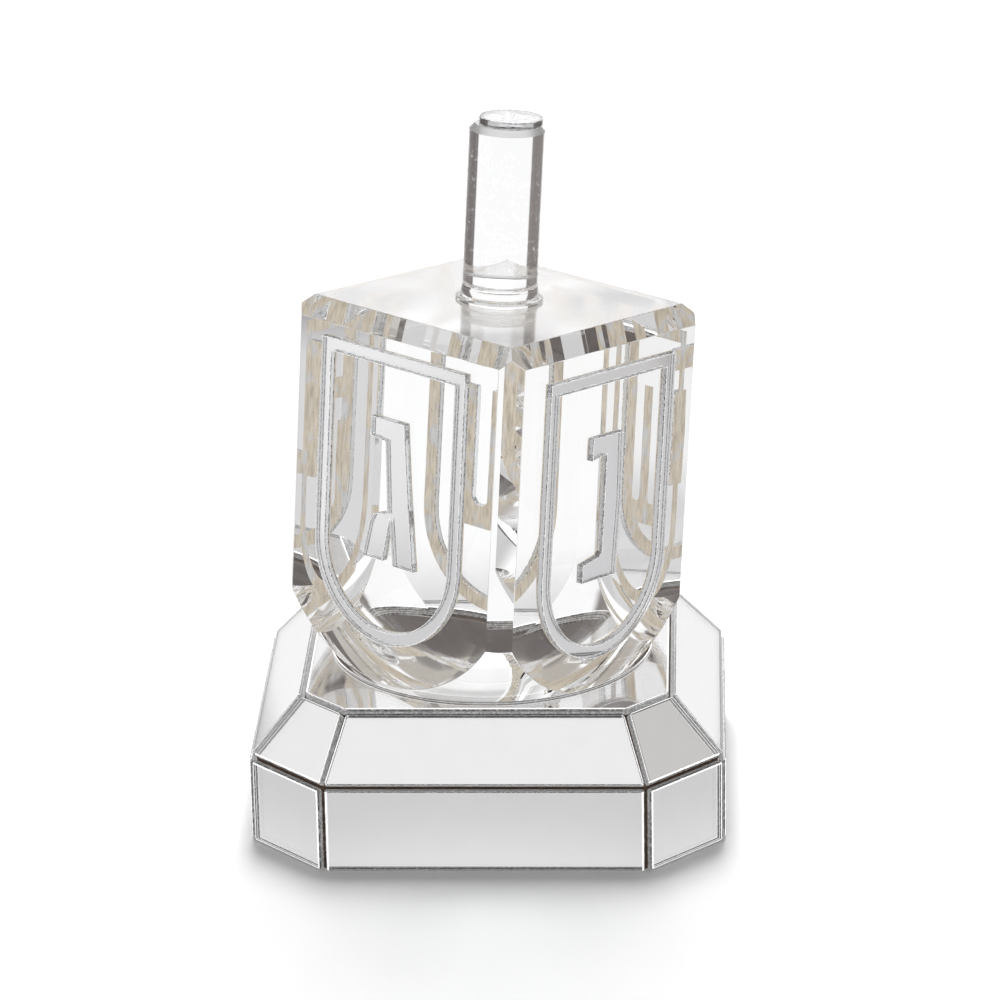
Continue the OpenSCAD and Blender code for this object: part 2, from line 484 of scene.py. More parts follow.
def radius(tree, point, axis):
    """Places the distance group in a material"""
    made = node(tree, "ShaderNodeGroup", {
        "Point": tuple(point), "Axis": tuple(axis),
    }, node_tree=shared_group("distance_from_axis", build_radius))
    return made.outputs["Distance"]


def fresh_material(name):
    """Material with nothing but its output in the tree"""
    material = bpy.data.materials.new(name)
    material.use_nodes = True
    tree = material.node_tree
    tree.nodes.clear()
    return material, tree, node(tree, "ShaderNodeOutputMaterial").inputs["Surface"]


def plain_material(name, inputs):
    """Material of one main shader"""
    material, tree, surface = fresh_material(name)
    shader = node(tree, "ShaderNodeBsdfPrincipled", inputs)
    feed(tree, shader.outputs[0], surface)
    return material, tree, shader


def parts_of(material):
    """Tree and main shader of a material"""
    tree = material.node_tree
    return tree, next(found for found in tree.nodes if found.type == "BSDF_PRINCIPLED")


def uneven(tree, shader, height, strength, depth):
    """Bumps on a shader from a height between 0 and 1"""
    bump = node(tree, "ShaderNodeBump", {"Strength": strength, "Distance": depth})
    feed(tree, height, bump.inputs["Height"])
    feed(tree, bump.outputs["Normal"], shader.inputs["Normal"])


def glass_material(name, tint, index, roughness=0.0):
    """Clear glass that lets shadow rays pass, so that lamps reach what stands behind it"""
    material, tree, surface = fresh_material(name)
    shader = node(tree, "ShaderNodeBsdfPrincipled", {
        "Base Color": opaque(tint), "Roughness": roughness, "IOR": index,
        "Transmission Weight": 1.0,
    })
    path = node(tree, "ShaderNodeLightPath")
    clear = node(tree, "ShaderNodeBsdfTransparent", {"Color": opaque(SHADOW_TINT)})
    mix = node(tree, "ShaderNodeMixShader")
    feed(tree, path.outputs["Is Shadow Ray"], mix.inputs[0])
    feed(tree, shader.outputs[0], mix.inputs[1])
    feed(tree, clear.outputs[0], mix.inputs[2])
    feed(tree, mix.outputs[0], surface)
    return material


def wavy_glass(name, tint, index, strength, scale):
    """Clear glass with a faint unevenness"""
    material = glass_material(name, tint, index)
    tree, shader = parts_of(material)
    uneven(tree, shader, grain(tree, scale, detail=1.0, roughness=0.4), strength, depth=0.2 * MM)
    return material


def cut_glass(name, tint, index):
    """Clear side of a plate with the fine ribs that the cutter leaves"""
    material = glass_material(name, tint, index, roughness=0.12)
    tree, shader = parts_of(material)
    uneven(tree, shader, grain(tree, scale=2400.0, detail=1.0), strength=0.5, depth=0.1 * MM)
    return material


def frosted_slope(material, axis, low, high, rough, shade, soft=0.05):
    """Ground finish where the surface slopes between two shares of an axis, with the glass there
    darkened by a share as painted shade
    """
    tree, shader = parts_of(material)
    slope = facing(tree, axis, "Either Way")
    above = rising(tree, slope, low, low + soft)
    below = rising(tree, slope, high, high + soft)
    band = worked(tree, "SUBTRACT", above, below)
    feed(tree, worked(tree, "MULTIPLY", band, rough), shader.inputs["Roughness"])
    clear = tuple(shader.inputs["Base Color"].default_value)
    ground = opaque(toned(clear[:3], shade))
    feed(tree, mixed(tree, band, clear, ground), shader.inputs["Base Color"])


def hazed_end(material, axis, haze):
    """Soft haze under a clear polish on the end face that an axis points out of"""
    tree, shader = parts_of(material)
    inside = node(tree, "ShaderNodeNewGeometry").outputs["Backfacing"]
    end = rising(tree, facing(tree, axis, "Along"), low=0.97, high=0.99)
    outside = worked(tree, "MULTIPLY", end, worked(tree, "SUBTRACT", 1.0, inside))
    slant = node(tree, "ShaderNodeLayerWeight", {"Blend": 0.5}).outputs["Facing"]
    seen = worked(tree, "MULTIPLY", outside, rising(tree, slant, low=0.1, high=0.65))
    feed(tree, worked(tree, "MULTIPLY", seen, haze), shader.inputs["Roughness"])
    feed(tree, seen, shader.inputs["Coat Weight"])
    shader.inputs["Coat Roughness"].default_value = 0.0


def shade_ring(material, point, axis, start, shade):
    """Greyer glass outside a distance from an axis: painted shade in place of the ground side that shows
    through
    """
    tree, shader = parts_of(material)
    clear = tuple(shader.inputs["Base Color"].default_value)
    ground = opaque(toned(clear[:3], shade))
    outer = rising(tree, radius(tree, point, axis), start, start + 0.1 * MM)
    feed(tree, mixed(tree, outer, clear, ground), shader.inputs["Base Color"])


def scratches_and_glow(material, tone):
    """Fine pale scratches that run round and along the rod, in patches; their paleness is painted light,
    a glow of their own
    """
    tree, shader = parts_of(material)
    fine = grain(tree, scale=5200.0, detail=2.0, roughness=0.7, stretch=(1.0, 1.0, 0.25))
    patches = grain(tree, scale=260.0, detail=1.0)
    thin = rising(tree, fine, low=0.58, high=0.70)
    lines = worked(tree, "MULTIPLY", thin, rising(tree, patches, low=0.44, high=0.64))
    pale = mixed(tree, lines, opaque(grey(0.0)), opaque(grey(tone)))
    # Painted light: the scratches glow instead of scattering light
    feed(tree, pale, shader.inputs["Emission Color"])
    shader.inputs["Emission Strength"].default_value = 1.0


def side_material(name, colour, scale, pane_depth):
    """Narrow cut side of a glass pane: grey, with fine ribs from the cutter, pale and dark lines along
    it that are painted highlights and shade, and a glow of painted light
    """
    material, tree, shader = plain_material(name, {
        "Roughness": 0.3, "Specular IOR Level": 0.6, "Emission Strength": 0.17,
    })
    depth = node(tree, "ShaderNodeAttribute", attribute_name="depth").outputs["Fac"]
    # Painted highlights and shade: pale and dark lines at set depths across the side
    lines = ramp(tree, worked(tree, "DIVIDE", depth, pane_depth), (
        (0.0, grey(0.9)), (0.34, grey(0.2)), (0.42, grey(1.0)), (0.5, grey(0.85)),
        (0.56, grey(0.4)), (0.62, grey(1.0)), (0.72, grey(0.8)),
    ), "CONSTANT")
    ribs = grain(tree, scale, detail=3.0, roughness=0.7)
    ribbed = ramp(tree, ribs, ((0.34, toned(colour, 0.6)), (0.5, colour), (0.68, toned(colour, 1.5))))
    tone = worked_vector(tree, "MULTIPLY", lines, ribbed)
    feed(tree, tone, shader.inputs["Base Color"])
    feed(tree, tone, shader.inputs["Emission Color"])
    uneven(tree, shader, ribs, strength=0.6, depth=0.1 * MM)
    return material


def arris_material(name, low, high, scale, cut, glow):
    """Narrow ground edge of a plate: two greys in fine chips, which glow by a share of their tone as
    painted light
    """
    material, tree, shader = plain_material(name, {
        "Roughness": 0.3, "Specular IOR Level": 0.6, "Emission Strength": glow,
    })
    chips = grain(tree, scale, detail=2.0, roughness=0.6)
    tone = ramp(tree, chips, ((cut - 0.03, low), (cut + 0.03, high)))
    feed(tree, tone, shader.inputs["Base Color"])
    feed(tree, tone, shader.inputs["Emission Color"])
    return material


def silver_material(name, colour):
    """Silvering with the faintest clouds"""
    material, tree, shader = plain_material(name, {"Metallic": 1.0, "Roughness": 0.03})
    clouds = grain(tree, scale=260.0, detail=3.0)
    tone = ramp(tree, clouds, ((0.3, toned(colour, 0.985)), (0.7, colour)))
    feed(tree, tone, shader.inputs["Base Color"])
    return material


def film_material(name, colour):
    """Streaked adhesive film, beige with greyer patches, lit mostly by painted light: it glows with its
    own tone in place of the light that reaches it inside the crystal
    """
    material, tree, shader = plain_material(name, {
        "Roughness": 0.65, "Specular IOR Level": 0.3, "Emission Strength": 0.72,
    })
    patches = grain(tree, scale=260.0, detail=2.0)
    streaks = grain(tree, scale=2200.0, detail=3.0, roughness=0.6, stretch=(1.0, 1.0, 0.12))
    blend = node(tree, "ShaderNodeMix", {0: 0.3}, data_type="FLOAT")
    feed(tree, streaks, blend.inputs[2])
    feed(tree, patches, blend.inputs[3])
    warm = ramp(tree, blend.outputs[0], (
        (0.38, toned(colour, 0.74)), (0.5, colour), (0.62, toned(colour, 1.16)),
    ))
    even = sum(colour) / 3
    cool = ramp(tree, blend.outputs[0], ((0.38, grey(even * 0.8)), (0.62, grey(even * 1.18))))
    tone = mixed(tree, rising(tree, patches, low=0.50, high=0.68), warm, cool)
    feed(tree, worked_vector(tree, "MULTIPLY", tone, grey(0.25)), shader.inputs["Base Color"])
    feed(tree, tone, shader.inputs["Emission Color"])
    return material


def fibre_material(name, colour, scale, rough, bumps):
    """Fine matted fibres"""
    material, tree, shader = plain_material(name, {"Roughness": rough, "Specular IOR Level": 0.25})
    fibres = grain(tree, scale, detail=6.0, roughness=0.7)
    tone = ramp(tree, fibres, ((0.3, toned(colour, 0.6)), (0.5, colour), (0.72, toned(colour, 1.6))))
    feed(tree, tone, shader.inputs["Base Color"])
    uneven(tree, shader, fibres, bumps, depth=0.2 * MM)
    return material


def socket_paint_and_glow(material, reach, colour, lining):
    """Grey paint on the socket's walls, over a pale lining, inside a radius round the upright axis;
    paint and lining both glow with painted light
    """
    tree, shader = parts_of(material)
    board = shader.inputs["Base Color"].links[0].from_socket
    inside = worked(tree, "LESS_THAN", radius(tree, (0.0, 0.0, 0.0), UPWARDS), reach)
    height = height_of(tree, node(tree, "ShaderNodeTexCoord").outputs["Object"])
    wall = rising(tree, height, LINING_TOP, PAINT_FOOT)
    paint = mixed(tree, wall, opaque(lining), opaque(toned(colour, 0.5)))
    glow = mixed(tree, wall, opaque(toned(lining, 0.4)), opaque(colour))
    feed(tree, mixed(tree, inside, board, paint), shader.inputs["Base Color"])
    feed(tree, mixed(tree, inside, opaque(grey(0.0)), glow), shader.inputs["Emission Color"])
    shader.inputs["Emission Strength"].default_value = 1.0


def wear(name, material):
    """Gives every slot of a CAD node one material"""
    for slot in cad(name).material_slots:
        slot.material = material


# Slots of a finished plate. A surface takes the last slot whose limit is above the share by which
# it faces along the plate's own direction: pale edge with a painted highlight, darker edge, and cut
# side.
SIDE_SLOTS = ((0.985, 2), (0.65, 3), (0.3, 1))


def build_side_finish(name):
    """Geometry nodes that give a plate's sides and edges their slots, and keep each point's depth"""
    group, start, end = new_group(
        name, "GeometryNodeTree", {"Plate": GEOMETRY, "Outwards": VECTOR, "Front": NUMBER},
        {"Plate": GEOMETRY},
    )
    outwards = start.outputs["Outwards"]
    normal = node(group, "GeometryNodeInputNormal").outputs["Normal"]
    share = worked(group, "ABSOLUTE", worked_vector(group, "DOT_PRODUCT", normal, outwards))
    plate = start.outputs["Plate"]
    for limit, slot in SIDE_SLOTS:
        index = node(group, "GeometryNodeSetMaterialIndex", {"Material Index": slot})
        feed(group, plate, index.inputs["Geometry"])
        feed(group, worked(group, "LESS_THAN", share, limit), index.inputs["Selection"])
        plate = index.outputs["Geometry"]
    place = node(group, "GeometryNodeInputPosition").outputs["Position"]
    height = worked_vector(group, "DOT_PRODUCT", place, outwards)
    kept = node(
        group, "GeometryNodeStoreNamedAttribute", {"Name": "depth"}, data_type="FLOAT", domain="POINT",
    )
    feed(group, plate, kept.inputs["Geometry"])
    feed(group, worked(group, "SUBTRACT", start.outputs["Front"], height), kept.inputs["Value"])
    feed(group, kept.outputs["Geometry"], end.inputs["Plate"])
    return group


def bevelled(piece, name, width, segments, turn):
    """Bevel on the edges of a piece that turn by more than an angle in degrees"""
    bevel = piece.modifiers.new(name, "BEVEL")
    bevel.width = width
    bevel.segments = segments
    bevel.limit_method = "ANGLE"
    bevel.angle_limit = math.radians(turn)
    return bevel


def welded(piece):
    """Joins the corners that the faces of a piece share"""
    weld = piece.modifiers.new("joined corners", "WELD")
    weld.merge_threshold = SAME_POINT


def finish_plate(plate, out, edge_width, finishes):
    """Ground edges and sides of their own finish on a glass plate, as modifiers"""
    welded(plate)
    bevelled(plate, "ground edge", edge_width, segments=2, turn=35)
    for material in finishes:
        plate.data.materials.append(material)
    sides = plate.modifiers.new("cut sides", "NODES")
    sides.node_group = shared_group("side_finish", build_side_finish)
    front = max(vert.co.dot(out) for vert in plate.data.vertices)
    values = {"Outwards": tuple(out), "Front": front}
    for socket in sides.node_group.interface.items_tree:
        if socket.name in values:
            sides[socket.identifier] = values[socket.name]


def polish_edges(piece, width, slot):
    """Narrow polished edge round the flat faces of a clear piece, in the material of a slot"""
    welded(piece)
    flat = piece.modifiers.new("whole faces", "DECIMATE")
    flat.decimate_type = "DISSOLVE"
    flat.angle_limit = math.radians(0.2)
    rounded = bevelled(piece, "polished edge", width, segments=1, turn=25)
    rounded.material = slot
    rounded.harden_normals = True
    drop_carried_normals(piece.data)


class DREIDEL_OT_crystal(bpy.types.Operator):
    """Gives the block, rod, collar and end disc their clear finishes"""

    bl_idname = "dreidel.crystal"
    bl_label = "Clear Pieces"

    def execute(self, context):
        glass = context.scene.dreidel_glass
        tint = tuple(glass.tint)
        right, axis = face_axes("front_left")[:2]

        block = glass_material("polished_crystal", tint, glass.index)
        hazed_end(block, axis, haze=0.22)
        wear("crystal_body", block)
        polish_edges(cad("crystal_body"), BLOCK_EDGE, slot=-1)

        rod = glass_material("clear_rod", tint, ROD_INDEX)
        frosted_slope(rod, axis, low=0.3, high=0.9, rough=0.45, shade=0.64)
        scratches_and_glow(rod, tone=0.36)
        wear("handle", rod)

        disc = wavy_glass("clear_end_disc", tint, ROD_INDEX, strength=0.1, scale=900.0)
        low, high = extent("tip_disc", right)
        clear_radius = (high - low) / 2 - DISC_RIM
        shade_ring(disc, middle("tip_disc"), axis, clear_radius, shade=0.55)
        wear("tip_disc", disc)
        # Painted shade: a dark outline on the disc's polished edges, with a faint glow
        cad("tip_disc").data.materials.append(arris_material(
            "disc_rim_shade", low=(0.16, 0.155, 0.155), high=grey(0.5), scale=900.0, cut=0.5, glow=0.3,
        ))
        polish_edges(cad("tip_disc"), DISC_EDGE, slot=1)

        wear("handle_collar", wavy_glass("cast_collar", tint, ROD_INDEX, strength=0.05, scale=300.0))
        return {"FINISHED"}


# Finishes of the frames and marks, in the order of their slots after the plate's own
PLATE_FINISHES = ("plate_cut_sides", "plate_highlight_edge", "plate_chipped_edge")


class DREIDEL_OT_frames(bpy.types.Operator):
    """Finishes the four U-shaped mirror frames and their films"""

    bl_idname = "dreidel.frames"
    bl_label = "Face Frames"

    def execute(self, context):
        sides, pale_edge, chipped_edge = PLATE_FINISHES
        plate = glass_material("plate_glass", grey(0.98), PLATE_INDEX, roughness=0.02)
        finishes = (
            cut_glass(sides, (0.86, 0.87, 0.87), PLATE_INDEX),
            # Painted highlight: a near-white, glowing edge along the plate's front
            arris_material(pale_edge, low=grey(0.62), high=grey(0.93), scale=2600.0, cut=0.42, glow=0.3),
            arris_material(
                chipped_edge, low=(0.06, 0.06, 0.065), high=grey(0.75), scale=3400.0, cut=0.5, glow=0.15,
            ),
        )
        silver = silver_material("plate_silvering", (0.93, 0.93, 0.94))
        film = film_material("streaked_film_painted_glow", tuple(context.scene.dreidel_marks.film_colour))
        for face in MARKS:
            out = face_axes(face)[2]
            name = "frame_" + face
            wear(name, plate)
            shade_flat(cad(name).data)
            finish_plate(cad(name), out, FRAME_EDGE, finishes)
            sheet = silver_sheet(name, out, PLATE_SILVER_LIFT, PLATE_SILVER_INSET)
            piece = new_piece("silvering_" + name, sheet, "dreidel")
            piece.data.materials.append(silver)
            wear("film_" + face, film)
            press = cad("film_" + face).modifiers.new("pressed on", "DISPLACE")
            press.strength = context.scene.dreidel_glass.glue_poke
            press.mid_level = 0.0
        return {"FINISHED"}


def mark_matrix(face, top_gap):
    """Place of a mark on a face: its origin is at the mark's top, in the middle of the frame"""
    right, up, out = face_axes(face)
    left_edge, right_edge = extent("frame_" + face, right)
    top_edge = extent("frame_" + face, up)[1]
    surface = extent("film_" + face, out)[0]
    across = right * ((left_edge + right_edge) / 2)
    origin = across + up * (top_edge - top_gap) + out * surface
    return Matrix.Translation(origin) @ Matrix((right, up, out)).transposed().to_4x4()


class DREIDEL_OT_marks(bpy.types.Operator):
    """Makes the raised game mark on each face: plate, silvering and film"""

    bl_idname = "dreidel.marks"
    bl_label = "Game Marks"

    def execute(self, context):
        marks = context.scene.dreidel_marks
        poke = context.scene.dreidel_glass.glue_poke
        plate = bpy.data.materials["plate_glass"]
        finishes = [bpy.data.materials[name] for name in PLATE_FINISHES]
        silver = bpy.data.materials["plate_silvering"]
        film = bpy.data.materials["streaked_film_painted_glow"]
        silver_low = marks.film + PLATE_SILVER_LIFT
        for face in MARKS:
            matrix = mark_matrix(face, marks.top_gap)
            for part, points in MARKS[face].items():
                inner = shrunk(points, PLATE_SILVER_INSET / MM)
                pieces = (
                    ("mark_", points, marks.film, marks.film + marks.plate, plate, "frame_mirror"),
                    ("silvering_mark_", inner, silver_low, silver_low + SILVER_THICKNESS, silver,
                     "frame_mirror"),
                    ("film_mark_", points, -poke, marks.film + poke, film, "adhesive_film"),
                )
                for prefix, outline, low, high, material, slot in pieces:
                    shape = outline_plate(outline, matrix, low, high)
                    piece = new_piece(prefix + part, shape, "dreidel")
                    piece.data.materials.append(material)
                    if prefix == "mark_":
                        finish_plate(piece, face_axes(face)[2], MARK_EDGE, finishes)
        return {"FINISHED"}


class DREIDEL_OT_mirrors(bpy.types.Operator):
    """Finishes the mirror panes of the base and silvers their backs"""

    bl_idname = "dreidel.mirrors"
    bl_label = "Base Mirrors"

    def execute(self, context):
        glass = glass_material("mirror_glass", grey(0.985), MIRROR_INDEX)
        low, high = extent("top_mirror", UPWARDS)
        finishes = (
            side_material("mirror_sides_painted_lines", grey(0.66), scale=2500.0, pane_depth=high - low),
            arris_material(
                # Painted highlight: a white, glowing edge round each pane's front
                "mirror_highlight_edge", low=grey(0.78), high=grey(1.0), scale=1500.0, cut=0.36, glow=0.55,
            ),
            # Painted shade: a dark line along each pane's edge, where the panes meet
            arris_material(
                "mirror_shade_edge", low=(0.05, 0.046, 0.042), high=(0.42, 0.41, 0.4), scale=2200.0,
                cut=0.55, glow=0.15,
            ),
        )
        silver = silver_material("mirror_silvering", (0.925, 0.922, 0.925))
        names = ["top_mirror"]
        names += ["shoulder_mirror_" + side for side in BASE_SIDES]
        names += ["side_mirror_" + side for side in BASE_SIDES]
        for name in names:
            out = UPWARDS if name == "top_mirror" else outward_normal(name, middle("base_core"))
            wear(name, glass)
            sheet = silver_sheet(name, out, PANE_SILVER_LIFT, PANE_SILVER_INSET)
            piece = new_piece("silvering_" + name, sheet, "base")
            piece.data.materials.append(silver)
            shade_flat(cad(name).data)
            finish_plate(cad(name), out, context.scene.dreidel_base.edge, finishes)
        return {"FINISHED"}


class DREIDEL_OT_core(bpy.types.Operator):
    """Finishes the fibreboard core, the felt and the seat pad"""

    bl_idname = "dreidel.core"
    bl_label = "Core, Felt and Pad"

    def execute(self, context):
        base = context.scene.dreidel_base
        lining = tuple(base.pad_colour)
        board = fibre_material(
            "fibreboard_with_glowing_socket", tuple(base.board_colour), scale=1800.0, rough=0.8, bumps=0.4,
        )
        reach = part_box("seat_pad")[1].x + SOCKET_MARGIN
        # The socket's paint and pale lining glow: painted light in place of the light that reaches into
        # the socket
        socket_paint_and_glow(board, reach, colour=(0.085, 0.073, 0.07), lining=lining)
        wear("base_core", board)
        felt = fibre_material("felt", tuple(base.felt_colour), scale=3500.0, rough=0.95, bumps=0.8)
        wear("base_felt", felt)
        wear("seat_pad", fibre_material("seat_pad_felt", lining, scale=3000.0, rough=0.95, bumps=0.8))
        return {"FINISHED"}


# Camera that was fitted to the corners of the photographed object: place in metres, turn in
# degrees about X, Y and Z, and the focal length and the sensor's width in mm
CAMERA_PLACE = (0.03583, -0.77911, 0.35226)
CAMERA_TURN = (68.8776, 0.9599, 2.1313)
CAMERA_LENS = 176.84
CAMERA_SENSOR = 36.0

# Soft light above and behind the object, turned towards it: place, size and power
LAMP_PLACE = (0.0, 0.62, 1.22)
LAMP_SIZE = (0.42, 1.0)
LAMP_POWER = 21.0

# What mirrors and glass see round the object. Headings count in degrees from the right side towards
# the back, so 90 is behind the object and -90 is towards the camera.
WALL_TONE = grey(0.70)
CEILING_TONE = (0.48, 0.445, 0.40)
# Panels in the distance: name, middle heading, half width, lowest and highest height of the
# direction as a share of 1, and tone. Later panels stand in front of earlier ones.
PANELS = (
    ("high ceiling", 0, 180, 0.945, 1.20, (0.25, 0.235, 0.22)),
    ("left light", 180, 15, -0.60, 0.66, (0.92, 0.92, 0.92)),
    ("right wall", 0, 18, -0.60, 0.66, (0.64, 0.63, 0.62)),
    ("camera side", -100, 22, -0.05, 0.45, (0.62, 0.62, 0.62)),
    ("front right light", -62, 16, 0.18, 0.72, (1.20, 1.20, 1.20)),
    ("front left light", -128, 10, 0.18, 0.72, (1.05, 1.05, 1.05)),
    ("front overhead light", -90, 13, 0.76, 0.93, (0.93, 0.93, 0.935)),
    ("rear overhead light", 85, 22, 0.82, 0.95, (1.38, 1.37, 1.36)),
    ("right flag", 33, 23, -0.60, 0.70, (0.14, 0.12, 0.115)),
    ("left flag", 143, 21, -0.60, 0.62, (0.22, 0.195, 0.185)),
    ("backdrop", 90, 34, -0.60, 0.47, (1.0, 1.0, 1.0)),
    ("backdrop glow", 90, 15, 0.13, 0.27, (1.42, 1.43, 1.47)),
)
# Widths over which a panel fades out at its ends, and at its foot and top
PANEL_END_FADE = 0.03
PANEL_RIM_FADE = 0.05
# Heights of direction at which the wall turns into the ceiling
CEILING_START = (0.60, 0.78)
# Tones of the floor in mirrors and glass, painted light and shade by place: under the base, round it,
# and behind it
FOOT_TONE = grey(0.84)
FLOOR_TONE = (0.685, 0.68, 0.685)
REAR_TONE = grey(1.02)
# Distances in metres from the object's middle over which the floor's tone changes: round the foot,
# back behind the object, and out to where the surroundings take over
FOOT_REACH = (0.036, 0.072)
REAR_START = (0.080, 0.125)
ROOM_START = (0.19, 0.25)
# Distances over which the camera sees the floor fade into the white backdrop, and the white share
# that it starts with
WHITE_START = (0.4, 1.0)
WHITE_SHARE = 0.1
# Light on plain surfaces: white from low down, and this tone above these heights of direction
UPPER_START = (0.22, 0.38)
UPPER_TONE = grey(0.14)


def build_panel(name):
    """Shader group: 1 inside a panel given by heading and height, 0 outside"""
    group, start, end = new_group(
        name, "ShaderNodeTree",
        {"Direction": VECTOR, "Middle": VECTOR, "Reach": NUMBER, "Lowest": NUMBER, "Highest": NUMBER},
        {"Mask": NUMBER},
    )
    direction = start.outputs["Direction"]
    level = worked_vector(group, "MULTIPLY", direction, (1.0, 1.0, 0.0))
    level = worked_vector(group, "NORMALIZE", level)
    along = worked_vector(group, "DOT_PRODUCT", level, start.outputs["Middle"])
    height = height_of(group, direction)
    masks = []
    for value, edge, fade, end_value in (
        (along, "Reach", PANEL_END_FADE, 1.0), (height, "Lowest", PANEL_RIM_FADE, 1.0),
        (height, "Highest", PANEL_RIM_FADE, 0.0),
    ):
        soft = node(group, "ShaderNodeMapRange", {
            "From Min": -fade / 2, "From Max": fade / 2,
            "To Min": 1.0 - end_value, "To Max": end_value,
        }, interpolation_type="SMOOTHSTEP")
        feed(group, worked(group, "SUBTRACT", value, start.outputs[edge]), soft.inputs["Value"])
        masks.append(soft.outputs[0])
    both = worked(group, "MULTIPLY", masks[0], masks[1])
    feed(group, worked(group, "MULTIPLY", both, masks[2]), end.inputs["Mask"])
    return group


def build_studio(name):
    """Shader group: tone of the surroundings in a direction"""
    group, start, end = new_group(name, "ShaderNodeTree", {"Direction": VECTOR}, {"Tone": COLOUR})
    direction = worked_vector(group, "NORMALIZE", start.outputs["Direction"])
    overhead = rising(group, height_of(group, direction), *CEILING_START)
    tone = mixed(group, overhead, opaque(WALL_TONE), opaque(CEILING_TONE))
    for label, heading, half_width, lowest, highest, colour in PANELS:
        turn = math.radians(heading)
        panel = node(group, "ShaderNodeGroup", {
            "Middle": (math.cos(turn), math.sin(turn), 0.0),
            "Reach": math.cos(math.radians(half_width)), "Lowest": lowest, "Highest": highest,
        }, node_tree=shared_group("studio_panel", build_panel), label=label)
        feed(group, direction, panel.inputs["Direction"])
        tone = mixed(group, panel.outputs["Mask"], tone, opaque(colour))
    feed(group, tone, end.inputs["Tone"])
    return group


def studio_tone(tree, direction):
    """Places the studio group in a material or the world"""
    made = node(tree, "ShaderNodeGroup", node_tree=shared_group("studio_tones", build_studio))
    feed(tree, direction, made.inputs["Direction"])
    return made.outputs["Tone"]


def kinds_of_ray(tree):
    """1 for rays that come off a mirror or through glass, and 1 for rays from the camera"""
    path = node(tree, "ShaderNodeLightPath")
    glossy, through = path.outputs["Is Glossy Ray"], path.outputs["Is Transmission Ray"]
    return worked(tree, "MAXIMUM", glossy, through), path.outputs["Is Camera Ray"]


def mixed_shader(tree, share, first, second):
    """Shader between two shaders"""
    made = node(tree, "ShaderNodeMixShader")
    for source, target in zip((share, first, second), made.inputs):
        feed(tree, source, target)
    return made.outputs[0]


def floor_material():
    """White floor that fades into the backdrop; mirrors and glass see its own tones instead, painted
    light and shade that change with place round the object
    """
    material, tree, surface = fresh_material("pale_floor")
    place = node(tree, "ShaderNodeNewGeometry").outputs["Position"]
    split = node(tree, "ShaderNodeSeparateXYZ")
    feed(tree, place, split.inputs[0])
    reach = worked_vector(tree, "LENGTH", place)
    round_foot = rising(tree, reach, *FOOT_REACH)
    near = mixed(tree, round_foot, opaque(FOOT_TONE), opaque(FLOOR_TONE))
    behind = rising(tree, split.outputs["Y"], *REAR_START)
    near = mixed(tree, behind, near, opaque(REAR_TONE))
    far = rising(tree, reach, *ROOM_START)
    seen = node(tree, "ShaderNodeEmission", {"Strength": 1.0})
    feed(tree, mixed(tree, far, near, studio_tone(tree, place)), seen.inputs["Color"])

    reflected, from_camera = kinds_of_ray(tree)
    open_floor = rising(tree, reach, *WHITE_START, start=WHITE_SHARE)
    camera_share = worked(tree, "MULTIPLY", from_camera, open_floor)
    lit = node(tree, "ShaderNodeBsdfDiffuse", {"Color": opaque(grey(0.97))})
    white = node(tree, "ShaderNodeEmission", {"Color": opaque(grey(1.0)), "Strength": 1.0})
    plain = mixed_shader(tree, camera_share, lit.outputs[0], white.outputs[0])
    feed(tree, mixed_shader(tree, reflected, plain, seen.outputs[0]), surface)
    return material


def make_floor(size):
    """Pale floor under the object"""
    bm = bmesh.new()
    bmesh.ops.create_grid(bm, x_segments=1, y_segments=1, size=size / 2)
    mesh = bpy.data.meshes.new("floor")
    bm.to_mesh(mesh)
    bm.free()
    floor = bpy.data.objects.new("floor", mesh)
    bpy.context.scene.collection.objects.link(floor)
    floor.data.materials.append(floor_material())


def make_world():
    """White backdrop, light from low down all round, and the studio in mirrors and glass"""
    world = bpy.data.worlds.new("studio")
    bpy.context.scene.world = world
    world.use_nodes = True
    sky = world.node_tree
    sky.nodes.clear()
    direction = node(sky, "ShaderNodeTexCoord").outputs["Generated"]
    reflected, from_camera = kinds_of_ray(sky)
    above = rising(sky, height_of(sky, direction), *UPPER_START)
    lit = mixed(sky, above, opaque(grey(1.0)), opaque(UPPER_TONE))
    plain = mixed(sky, from_camera, lit, opaque(grey(1.0)))
    background = node(sky, "ShaderNodeBackground", {"Strength": 1.0})
    tone = mixed(sky, reflected, plain, studio_tone(sky, direction))
    feed(sky, tone, background.inputs["Color"])
    output = node(sky, "ShaderNodeOutputWorld")
    feed(sky, background.outputs[0], output.inputs["Surface"])


def make_lamp():
    """Soft light that gives the floor its shadow; mirrors and glass don't show it"""
    soft = bpy.data.lights.new("overhead softbox", "AREA")
    soft.shape = "RECTANGLE"
    soft.size, soft.size_y = LAMP_SIZE
    soft.energy = LAMP_POWER
    lamp = bpy.data.objects.new("overhead softbox", soft)
    bpy.context.scene.collection.objects.link(lamp)
    lamp.location = LAMP_PLACE
    lamp.rotation_euler = (-math.atan2(LAMP_PLACE[1], LAMP_PLACE[2]), 0.0, 0.0)
    lamp.visible_camera = lamp.visible_glossy = lamp.visible_transmission = False


def make_camera():
    """Camera at the photograph's place"""
    lens = bpy.data.cameras.new("camera")
    lens.sensor_width = CAMERA_SENSOR
    lens.lens = CAMERA_LENS
    lens.clip_start = 0.01
    lens.clip_end = 50.0
    camera = bpy.data.objects.new("camera", lens)
    bpy.context.scene.collection.objects.link(camera)
    camera.location = CAMERA_PLACE
    camera.rotation_euler = Euler([math.radians(angle) for angle in CAMERA_TURN], "XYZ")
    bpy.context.scene.camera = camera


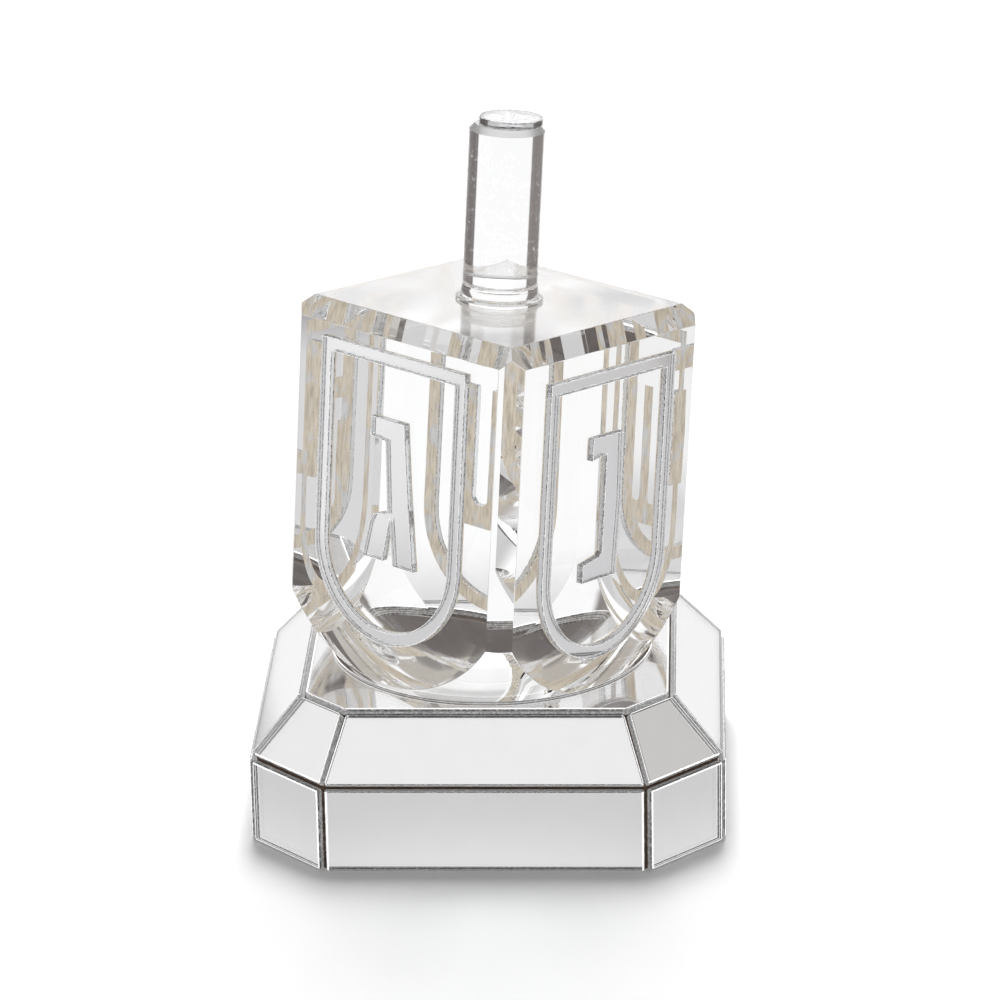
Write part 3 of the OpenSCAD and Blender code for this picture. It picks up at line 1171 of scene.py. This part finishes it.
class DREIDEL_OT_stage(bpy.types.Operator):
    """Makes the floor, the surroundings, the lamp and the camera"""

    bl_idname = "dreidel.stage"
    bl_label = "Studio"

    def execute(self, context):
        scene = context.scene
        make_floor(scene.dreidel_stage.floor_size)
        make_world()
        make_lamp()
        make_camera()
        scene.view_settings.view_transform = "Standard"
        scene.cycles.max_bounces = 40
        scene.cycles.glossy_bounces = 32
        scene.cycles.transmission_bounces = 32
        scene.cycles.transparent_max_bounces = 16
        return {"FINISHED"}


class DREIDEL_PT_panel(bpy.types.Panel):
    """Sizes, colours and steps of the dreidel"""

    bl_label = "Dreidel"
    bl_idname = "DREIDEL_PT_panel"
    bl_space_type = "VIEW_3D"
    bl_region_type = "UI"
    bl_category = "Dreidel"

    def draw(self, context):
        layout = self.layout
        for name, cls in GROUPS.items():
            box = layout.box()
            for value in cls.__annotations__:
                box.prop(getattr(context.scene, name), value)
        for operator in OPERATORS:
            layout.operator(operator.bl_idname)


OPERATORS = (
    DREIDEL_OT_crystal, DREIDEL_OT_frames, DREIDEL_OT_marks, DREIDEL_OT_mirrors, DREIDEL_OT_core,
    DREIDEL_OT_stage,
)
GROUPS = {
    "dreidel_glass": DREIDEL_PG_glass, "dreidel_marks": DREIDEL_PG_marks,
    "dreidel_base": DREIDEL_PG_base, "dreidel_stage": DREIDEL_PG_stage,
}


def register():
    for cls in (*GROUPS.values(), *OPERATORS, DREIDEL_PT_panel):
        bpy.utils.register_class(cls)
    for name, cls in GROUPS.items():
        setattr(bpy.types.Scene, name, bpy.props.PointerProperty(type=cls))


def unregister():
    for name in GROUPS:
        delattr(bpy.types.Scene, name)
    for cls in (DREIDEL_PT_panel, *reversed(OPERATORS), *reversed(tuple(GROUPS.values()))):
        bpy.utils.unregister_class(cls)


def main():
    register()
    bpy.ops.dreidel.crystal()
    bpy.ops.dreidel.frames()
    bpy.ops.dreidel.marks()
    bpy.ops.dreidel.mirrors()
    bpy.ops.dreidel.core()
    bpy.ops.dreidel.stage()


if __name__ == "__main__":
    main()
